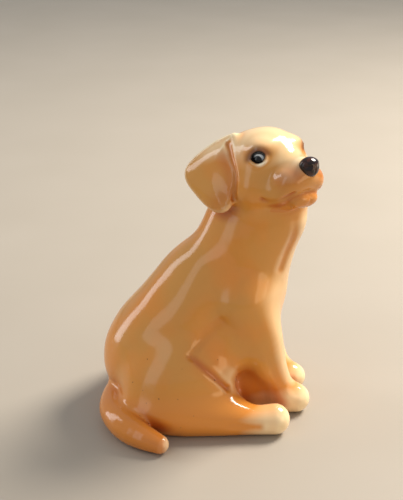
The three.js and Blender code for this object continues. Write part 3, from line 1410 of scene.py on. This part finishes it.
@dataclass(frozen=True)
class EyeGlaze:
    """Black overglaze, with a pale crescent above the downcast pupil that stands for the iris and for a
    painted reflection on the glossy eye.
    """

    name: str = "black and pale grey overglaze"
    pupil: str = "#050505"
    # Near white: the iris and a painted reflection together.
    iris_and_reflection: str = "#F0F4F6"
    rim: str = "#0A0808"
    pupil_radius: float = 1.15
    iris_radius: float = 2.15
    edge: float = 0.12
    downcast: float = 0.5
    crescent: Span = (-0.6, 0.8)
    crescent_edge: Span = (-0.5, 0.8)
    roughness: float = 0.04

    def material(self, axes: EyeAxes) -> bpy.types.Material:
        """The finish for the eye with those axes.

        Args:
            axes: The eye's own directions.

        Returns:
            The new material.
        """
        made, shader, place = unpainted(self.name)
        tree = made.node_tree
        a, b = measured(tree, place, axes.centre, axes.across, axes.up)
        across, up = self.crescent
        drop, edge = self.downcast * MM, self.edge * MM
        pupil, iris_and_reflection = self.pupil_radius * MM, self.iris_radius * MM
        from_pupil = length(tree, maths(tree, "ADD", a, across * drop), maths(tree, "ADD", b, up * drop))
        outside = ramp(tree, from_pupil, pupil - edge, pupil + edge)
        towards = maths(tree, "ADD", maths(tree, "MULTIPLY", b, up), maths(tree, "MULTIPLY", a, across))
        crescent = product(tree, outside, ramp(tree, towards, *(c * MM for c in self.crescent_edge)))
        tone = mixed(tree, crescent, colour(self.pupil), colour(self.iris_and_reflection))
        past_iris = ramp(tree, length(tree, a, b), iris_and_reflection - edge, iris_and_reflection + edge)
        tree.links.new(mixed(tree, past_iris, tone, colour(self.rim)), shader.inputs["Base Color"])
        shader.inputs["Roughness"].default_value = self.roughness
        return made


# ---------------------------------------------------------------- the figurine


def stood(name: str, data: bpy.types.ID) -> bpy.types.Object:
    """A new object in the scene, at the origin.

    Args:
        name: What it is called.
        data: The mesh, light or camera that it shows.

    Returns:
        The object.
    """
    made = bpy.data.objects.new(name, data)
    bpy.context.scene.collection.objects.link(made)
    return made


def shown(name: str, skin: Skin, finish: bpy.types.Material, node: str, slot: str) -> bpy.types.Object:
    """Makes a skin into a piece of the model.

    Args:
        name: The piece's name.
        skin: Its shape, in millimetres.
        finish: Its material.
        node: The CAD node that it stands for.
        slot: The record's material slot.

    Returns:
        The new object, riding on the root.
    """
    mesh = bpy.data.meshes.new(name)
    mesh.from_pydata((skin.points * MM).tolist(), [], skin.triangles.tolist())
    for key, value in skin.values.items():
        mesh.attributes.new(key, "FLOAT", "POINT").data.foreach_set("value", value.astype(F32))
    mesh.shade_smooth()
    mesh.normals_split_custom_set_from_vertices(skin.normals.tolist())
    mesh.materials.append(finish)
    return placed(stood(name, mesh), node, slot)


def placed(piece: bpy.types.Object, node: str, slot: str) -> bpy.types.Object:
    """Hangs a piece on the root and hides the CAD part that it stands for.

    Args:
        piece: The piece.
        node: The CAD node that it stands for.
        slot: Not used.

    Returns:
        The same piece.
    """
    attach(piece, "root")
    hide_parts(node)
    LOG.info("%s: %d faces", piece.name, len(piece.data.polygons))
    return piece


@dataclass
class Sculpture:
    """The blended pieces, cut from one skin, and where the glaze on it is thin or pools, together with the
    painted light and painted shade on it.
    """

    figure: Figure
    voxel: float = 0.5
    margin: float = 3.0
    finer_near_eyes: Span = (7.0, 4.6)
    bend_step: float = 1.3
    shelter_reaches: Span = (3.0, 6.0)
    pool_gain: float = 1.05
    pool_from: float = 0.18
    crown_height: float = 74.0
    chest_height: float = 71.0
    lit_edge: float = 8.0
    toes_reach: float = 8.0
    toes_edge: float = 11.0
    bare_height: float = 0.35

    def skin(self) -> Skin:
        """The whole figure's skin, finer round the eyes, with its values at each point.

        Returns:
            The skin, with its levels and its glaze values.
        """
        low, high = ([c / MM for c in corner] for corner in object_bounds())
        mesher = Mesher(self.voxel)
        shape = self.figure.distance
        skin = mesher.skin(
            shape, tuple(c - self.margin for c in low), tuple(c + self.margin for c in high)
        )
        for reach in self.finer_near_eyes:
            skin = mesher.refine(skin, shape, self.figure.from_eyes(skin.points) < reach)
        skin.values.update(self.figure.levels(skin.points))
        bend = self.curvature(skin.points, self.bend_step)
        shelter = np.mean([self.shelter(skin, reach) for reach in self.shelter_reaches], axis=0)
        # Painted shade: points closed in by nearby clay are darkened because shade falls there, which also
        # stands for glaze pooled in the hollows; ridges are spared.
        pool = np.clip(self.pool_gain * shelter - self.pool_from - np.clip(bend, 0, 1), 0, 1)
        # Tool marks darken their strokes: glaze pooled in grooves, and painted shade along creases, the side
        # of the muzzle and the tail.
        for mark in self.figure.marks:
            pool = np.maximum(pool, mark.pooling_and_shade * mark.touch(skin.points))
        pool = np.maximum(pool, self.mouth(skin))
        # Pale where light is painted on the sides facing the key light, and where ridges thin the glaze.
        thin = np.clip(self.painted_light(skin) + bend * 0.8 - 0.45, 0, 1)
        thin *= 0.3 + 0.7 * np.clip(self.figure.from_eyes(skin.points) / 4 - 0.6, 0, 1)
        bare = np.clip((self.bare_height - skin.points[:, 2]) / 0.3, 0, 1)
        skin.values.update(pool=pool.astype(F32), thin=thin.astype(F32), bare=bare.astype(F32))
        return skin

    def painted_light(self, skin: Skin) -> np.ndarray:
        """Painted light: paler on the crown, the front of the chest and legs, and the toes, which are the
        sides that face the key light.

        Args:
            skin: The figure's skin.

        Returns:
            A number from 0 to 1 for each point.
        """
        height, ahead = skin.points[:, 2], -skin.points[:, 1]
        up, forward = skin.normals[:, 2], -skin.normals[:, 1]
        crown = np.clip((height - self.crown_height) / self.lit_edge, 0, 1) * np.clip(up * 1.4, 0, 1)
        chest = np.clip((self.chest_height - height) / self.lit_edge, 0, 1)
        chest = chest * np.clip(forward * 1.7 - 0.5, 0, 0.85)
        toes = np.clip((ahead - self.toes_reach) / self.toes_edge, 0, 1) * np.clip((12 - height) / 5, 0, 1)
        return np.maximum(np.maximum(crown, chest), toes)

    def mouth(self, skin: Skin) -> np.ndarray:
        """How near each point is to the line between the lips, which is darkened for glaze run into it and
        for painted shade in it.

        Args:
            skin: The figure's skin, with its levels.

        Returns:
            A number from 0 to 1 for each point.
        """
        apart = np.abs(skin.values["head"]) + np.abs(skin.values["lower_jaw"])
        forward = -self.figure.pose.local(skin.points)[:, 1]
        return np.clip(1.2 - 1.5 * apart, 0, 0.95) * np.clip((forward - 7) / 2, 0, 1)

    def shelter(self, skin: Skin, reach: float) -> np.ndarray:
        """How closed in each point is: 0 in the open, towards 1 where clay lies close in front of it."""
        ahead = self.figure.distance(skin.points + skin.normals * F32(reach))
        return np.clip(1 - ahead / F32(reach) - 0.08, 0, 1)

    def curvature(self, points: np.ndarray, step: float) -> np.ndarray:
        """How sharply the skin bends: above zero on ridges, below zero in creases.

        Args:
            points: One point a row, in the figure's frame.
            step: How far apart the bend is measured, in millimetres.

        Returns:
            The bend at each point, in reciprocal millimetres.
        """
        total = -6 * self.figure.distance(points)
        for move in np.eye(3, dtype=F32) * F32(step):
            total += self.figure.distance(points + move) + self.figure.distance(points - move)
        return total / F32(step * step)

    def make(self) -> list[bpy.types.Object]:
        """Parts the skin into its pieces and dresses each.

        Returns:
            The finished pieces.
        """
        whole = self.skin()
        LOG.info("skin: %d points, %d faces", len(whole.points), len(whole.triangles))
        honey = Glaze().material()
        lining = EyeLining(self.figure.head.socket, self.figure.pose)
        lined = Glaze(name="honey glaze, lined round the eyes", lining=lining).material()
        amber = Glaze(name="amber glaze", body="#D08638", deep="#C67228", thin="#EDB66E").material()
        finishes = {"head": lined, "lower_jaw": amber}
        made, rest = [], whole
        left = [self.figure.trunk.node, *(piece.node for piece in self.figure.pieces)]
        for piece in reversed(self.figure.pieces):
            left.remove(piece.node)
            others = np.min([rest.values[name] for name in left], axis=0)
            cut, rest = rest.part(rest.values[piece.node] - others)
            made.append(self.finished(piece, cut, finishes.get(piece.node, honey)))
        made.append(self.finished(self.figure.trunk, rest, honey))
        return made

    def finished(self, piece: Piece, skin: Skin, finish: bpy.types.Material) -> bpy.types.Object:
        """One piece, closed and dressed.

        Args:
            piece: The piece of clay.
            skin: Its part of the figure's skin.
            finish: Its material.

        Returns:
            The new object.
        """
        skin.values = {name: skin.values[name] for name in GLAZE_VALUES}
        whole = skin.closed(piece.core, self.figure.distance)
        return shown(f"{piece.node}_clay", whole, finish, piece.node, piece.slot)


@dataclass(frozen=True)
class Nose:
    """The nose pad, a lump of clay with two nostrils, pressed on to the end of the muzzle."""

    pose: HeadPose
    pad: Lump = Lump((0, -20.0, -1.2), (3.2, 2.3, 2.2))
    tip: Lump = Lump((0, -20.3, -2.7), (2.3, 1.7, 2.0))
    nostril: ToolMark = ToolMark(((1.5, -22.4, -2.0), (2.4, -21.7, -1.7)), 0.5, 0.6)
    groove: ToolMark = ToolMark(((0, -22.5, -1.8), (0, -22.1, -4.2)), 0.35, 0.4)
    voxel: float = 0.22

    def distance(self, points: np.ndarray) -> np.ndarray:
        """The nose in the head's own frame.

        Args:
            points: One point a row, in the head's own frame.

        Returns:
            The distance of each, below zero inside.
        """
        local = folded(points.astype(F32))
        shape = blended((self.pad, self.tip), local, 1.6)
        return shape + self.nostril.press(local) + self.groove.press(local)

    def make(self) -> bpy.types.Object:
        """Builds and dresses the nose.

        Returns:
            The new object.
        """
        skin = Mesher(self.voxel).skin(self.distance, (-5, -25, -7), (5, -15, 3))
        skin.points = self.pose.world(skin.points)
        skin.normals = skin.normals @ self.pose.matrix.T
        return shown("nose_pad", skin, NoseGlaze().material(), "nose", "nose_glaze")


@dataclass(frozen=True)
class Eye:
    """One eyeball, behind its lids."""

    side: Side
    axes: EyeAxes
    radius: float = 2.4
    sunk: float = 0.2
    segments: int = 48

    def tree(self, finish: bpy.types.Material) -> bpy.types.NodeTree:
        """A ball of clay, as nodes with named inputs for its size and place.

        Args:
            finish: The eye's material.

        Returns:
            The geometry tree.
        """
        tree = new_tree("eyeball", Radius="Float", Centre="Vector", Segments="Int")
        given = add(tree, "NodeGroupInput").outputs
        rings = maths(tree, "DIVIDE", given["Segments"], 2.0)
        ball = add(tree, "GeometryNodeMeshUVSphere", {
            "Segments": given["Segments"], "Rings": rings, "Radius": given["Radius"],
        })
        return finished_tree(tree, moved(tree, ball.outputs[0], given["Centre"]), finish)

    def make(self) -> bpy.types.Object:
        """Builds and dresses the eyeball.

        Returns:
            The new object.
        """
        side = self.side.name.lower()
        tree = self.tree(EyeGlaze().material(self.axes))
        centre = np.array(self.axes.centre) - np.array(self.axes.out) * (self.radius + self.sunk)
        sizes = {"Radius": self.radius * MM, "Centre": tuple(centre * MM), "Segments": self.segments}
        return placed(grown(f"{side}_eyeball", tree, sizes), f"{side}_eye", "eye_glaze")


@dataclass(frozen=True)
class Pinholes:
    """Pinholes that burst through the glaze as it boiled in the kiln, strewn over one piece."""

    per_area: float = 9000.0
    radius: float = 0.16
    spacing: float = 2.5
    scale: Span = (0.5, 1.2)
    most_outward_x: float = -0.25
    seed: int = 7

    def tree(self, finish: bpy.types.Material) -> bpy.types.NodeTree:
        """Strews small dark pits over the mesh that it is given, no two closer than the spacing.

        Args:
            finish: The material of the pits.

        Returns:
            The geometry tree.
        """
        tree = new_tree(
            "pinholes", Geometry="Geometry", Density="Float", Radius="Float", Spacing="Float", Seed="Int"
        )
        given = add(tree, "NodeGroupInput").outputs
        normal = add(tree, "GeometryNodeInputNormal").outputs[0]
        outward = add(tree, "ShaderNodeSeparateXYZ", {0: normal}).outputs["X"]
        limits = {0: outward, 1: self.most_outward_x}
        facing = add(tree, "FunctionNodeCompare", limits, data_type="FLOAT", operation="LESS_THAN")
        strewn = add(tree, "GeometryNodeDistributePointsOnFaces", {
            "Mesh": given["Geometry"], "Selection": facing.outputs[0], "Distance Min": given["Spacing"],
            "Density Max": given["Density"], "Seed": given["Seed"],
        }, distribute_method="POISSON")
        pit = add(tree, "GeometryNodeMeshIcoSphere", {"Radius": given["Radius"], "Subdivisions": 2})
        small, large = self.scale
        size = add(tree, "FunctionNodeRandomValue", {"Min": small, "Max": large, "Seed": given["Seed"]})
        pits = add(tree, "GeometryNodeInstanceOnPoints", {
            "Points": strewn.outputs["Points"], "Instance": pit.outputs[0], "Scale": scalar(size),
        })
        return finished_tree(tree, pits.outputs[0], finish)

    def make(self, base: bpy.types.Object, node: str, slot: str) -> bpy.types.Object:
        """Strews the pinholes.

        Args:
            base: The piece that they are in.
            node: The CAD node that they belong to.
            slot: The record's material slot.

        Returns:
            The new piece.
        """
        tree = self.tree(BareClay("burnt clay in a pinhole", "#3A2013", "#5C3420").material())
        sizes = {
            "Density": self.per_area, "Radius": self.radius * MM, "Spacing": self.spacing * MM,
            "Seed": self.seed,
        }
        return placed(grown(f"{node}_pinholes", tree, sizes, base.data.copy()), node, slot)


@dataclass(frozen=True)
class StiltMarks:
    """Three rough scars under the base, where the stilts held it off the kiln shelf."""

    count: int = 3
    ring: float = 12.5
    radius: float = 0.9
    flatness: float = 0.2
    middle: Point = (0, 9, 0.18)

    def tree(self, finish: bpy.types.Material) -> bpy.types.NodeTree:
        """Flattened beads at even steps round a ring.

        Args:
            finish: The material of the scars.

        Returns:
            The geometry tree.
        """
        tree = new_tree("stilt marks", Count="Int", Ring="Float", Radius="Float", Centre="Vector")
        given = add(tree, "NodeGroupInput").outputs
        ring = add(tree, "GeometryNodeMeshCircle", {"Vertices": given["Count"], "Radius": given["Ring"]})
        bead = add(tree, "GeometryNodeMeshIcoSphere", {"Radius": given["Radius"], "Subdivisions": 3})
        beads = add(tree, "GeometryNodeInstanceOnPoints", {
            "Points": ring.outputs[0], "Instance": bead.outputs[0], "Scale": (1.0, 1.0, self.flatness),
        })
        return finished_tree(tree, moved(tree, beads.outputs[0], given["Centre"]), finish)

    def make(self) -> bpy.types.Object:
        """Sets the scars into the base.

        Returns:
            The new object.
        """
        tree = self.tree(BareClay("rough bare clay", "#CDB695", "#B99F7C").material())
        centre = tuple(c * MM for c in self.middle)
        sizes = {"Count": self.count, "Ring": self.ring * MM, "Radius": self.radius * MM, "Centre": centre}
        return placed(grown("torso_stilt_marks", tree, sizes), "torso", "honey_glaze")


def new_tree(name: str, **inputs: str) -> bpy.types.NodeTree:
    """A geometry tree with those inputs, each given by its name and the kind of its socket.

    Args:
        name: The tree's name.
        inputs: The kind of each input socket, by the input's name.

    Returns:
        The tree, with its inputs and one geometry output.
    """
    tree = bpy.data.node_groups.new(name, "GeometryNodeTree")
    for key, kind in inputs.items():
        tree.interface.new_socket(key, in_out="INPUT", socket_type=f"NodeSocket{kind}")
    tree.interface.new_socket("Geometry", in_out="OUTPUT", socket_type="NodeSocketGeometry")
    return tree


def scalar(node: bpy.types.Node) -> bpy.types.NodeSocket:
    """The number that comes out of a node with outputs of several kinds."""
    return next(out for out in node.outputs if out.type == "VALUE" and out.enabled)


def moved(
    tree: bpy.types.NodeTree, made: bpy.types.NodeSocket, centre: bpy.types.NodeSocket
) -> bpy.types.NodeSocket:
    """What a tree has made, moved to a centre."""
    return add(tree, "GeometryNodeTransform", {"Geometry": made, "Translation": centre}).outputs[0]


def finished_tree(
    tree: bpy.types.NodeTree, made: bpy.types.NodeSocket, finish: bpy.types.Material
) -> bpy.types.NodeTree:
    """Ends a geometry tree.

    Args:
        tree: The tree.
        made: What it has built.
        finish: The material to set on it.

    Returns:
        The same tree, with its result real, smooth, dressed and given out.
    """
    real = add(tree, "GeometryNodeRealizeInstances", {"Geometry": made})
    smooth = add(tree, "GeometryNodeSetShadeSmooth", {"Geometry": real.outputs[0]})
    glazed = add(tree, "GeometryNodeSetMaterial", {"Geometry": smooth.outputs[0], "Material": finish})
    add(tree, "NodeGroupOutput", {"Geometry": glazed.outputs[0]})
    return tree


def grown(
    name: str, tree: bpy.types.NodeTree, sizes: dict[str, object], base: bpy.types.Mesh | None = None
) -> bpy.types.Object:
    """Runs a geometry tree and keeps its result as a plain mesh.

    Args:
        name: The piece's name.
        tree: The tree to run.
        sizes: A value for each of its named inputs.
        base: The mesh that it works on, if it needs one.

    Returns:
        The new object, with no modifier.
    """
    piece = stood(name, base or bpy.data.meshes.new(name))
    modifier = piece.modifiers.new("Grow", "NODES")
    modifier.node_group = tree
    sockets = {item.name: item.identifier for item in tree.interface.items_tree if item.in_out == "INPUT"}
    for key, value in sizes.items():
        modifier[sockets[key]] = value
    graph = bpy.context.evaluated_depsgraph_get()
    result = bpy.data.meshes.new_from_object(piece.evaluated_get(graph), depsgraph=graph)
    piece.modifiers.clear()
    piece.data = result
    result.name = name
    return piece


# ---------------------------------------------------------------- the studio


@dataclass(frozen=True)
class Softbox:
    """A flat light, pointed at the figurine: round where it is as wide as high, and else an upright strip."""

    place: Point
    size: float
    width: float
    watts: float
    tint: str = "#FFFFFF"
    aim: Point = (0, 0, 0.045)

    def make(self) -> None:
        """Hangs the light."""
        lamp = bpy.data.lights.new("softbox", "AREA")
        lamp.shape = "ELLIPSE" if self.width == self.size else "RECTANGLE"
        lamp.size, lamp.size_y, lamp.energy = self.width, self.size, self.watts
        lamp.color = colour(self.tint)[:3]
        stand = stood("softbox", lamp)
        stand.location = self.place
        stand.rotation_euler = (Vector(self.aim) - Vector(self.place)).to_track_quat("-Z", "Y").to_euler()


@dataclass(frozen=True)
class Studio:
    """A pale table, soft light and the camera."""

    boxes: tuple[Softbox, ...] = (
        Softbox((0.28, -0.44, 0.54), 0.32, 0.32, 9.0, "#FFF7EC"),
        Softbox((-0.38, -0.66, 0.12), 0.50, 0.50, 1.5, "#FFD8A6"),
        Softbox((-0.50, 0.60, 0.45), 1.00, 0.30, 1.0, "#FFFFFF"),
        Softbox((0.30, 0.80, 0.35), 0.80, 0.25, 2.2, "#FFFFFF"),
    )
    sky: str = "#C2C6CA"
    sky_strength: float = 0.79
    table: str = "#A59C8E"
    table_light: str = "#ACA396"
    table_cloud: float = 60.0
    table_size: float = 8.0
    eye_height: float = 22.0
    distance: float = 0.323
    aim: Point = (0.0, 0.0, 0.050)
    lens: float = 77.4

    def make(self) -> None:
        """Sets everything up."""
        for box in self.boxes:
            box.make()
        world = bpy.data.worlds.new("studio")
        world.use_nodes = True
        background = world.node_tree.nodes["Background"]
        background.inputs["Color"].default_value = colour(self.sky)
        background.inputs["Strength"].default_value = self.sky_strength
        bpy.context.scene.world = world
        bpy.context.scene.view_settings.view_transform = "Standard"
        self.lay_table()
        self.set_camera()

    def lay_table(self) -> None:
        """A plain pale table under the figurine."""
        half = self.table_size / 2
        mesh = bpy.data.meshes.new("table")
        corners = [(-half, -half, 0), (half, -half, 0), (half, half, 0), (-half, half, 0)]
        mesh.from_pydata(corners, [], [(0, 1, 2, 3)])
        paint, shader, place = unpainted("pale paint")
        tree = paint.node_tree
        clouds = noise(tree, place, self.table_cloud)
        tone = mixed(tree, clouds, colour(self.table), colour(self.table_light))
        tree.links.new(tone, shader.inputs["Base Color"])
        shader.inputs["Roughness"].default_value = 0.6
        mesh.materials.append(paint)
        table = stood("table", mesh)
        table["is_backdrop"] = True

    def set_camera(self) -> None:
        """The camera, level with the puppy's right side and a little above it."""
        height = math.radians(self.eye_height)
        back = Vector((-math.cos(height), 0, math.sin(height)))
        lens = bpy.data.cameras.new("camera")
        lens.sensor_width, lens.lens = 36, self.lens
        lens.clip_start = 0.01
        camera = stood("camera", lens)
        camera.location = Vector(self.aim) + back * self.distance
        camera.rotation_euler = (-back).to_track_quat("-Z", "Y").to_euler()
        bpy.context.scene.camera = camera


def main() -> None:
    """Builds the figurine in its studio."""
    logging.basicConfig(level=logging.INFO, format="%(name)s: %(message)s", stream=sys.stdout)
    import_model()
    cad_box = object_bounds()
    figure = Figure()
    clay = {piece.name: piece for piece in Sculpture(figure, voxel=0.5).make()}
    Pinholes().make(clay["right_haunch_clay"], "right_haunch", "honey_glaze")
    StiltMarks().make()
    Nose(figure.pose).make()
    for side in BOTH:
        Eye(side, eye_axes(figure.head.socket, figure.pose, side)).make()
    Studio().make()
    boxes = {"cad": cad_box, "visual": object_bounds()}
    {name: [list(corner) for corner in box] for name, box in boxes.items()}


if __name__ == "__main__":
    main()
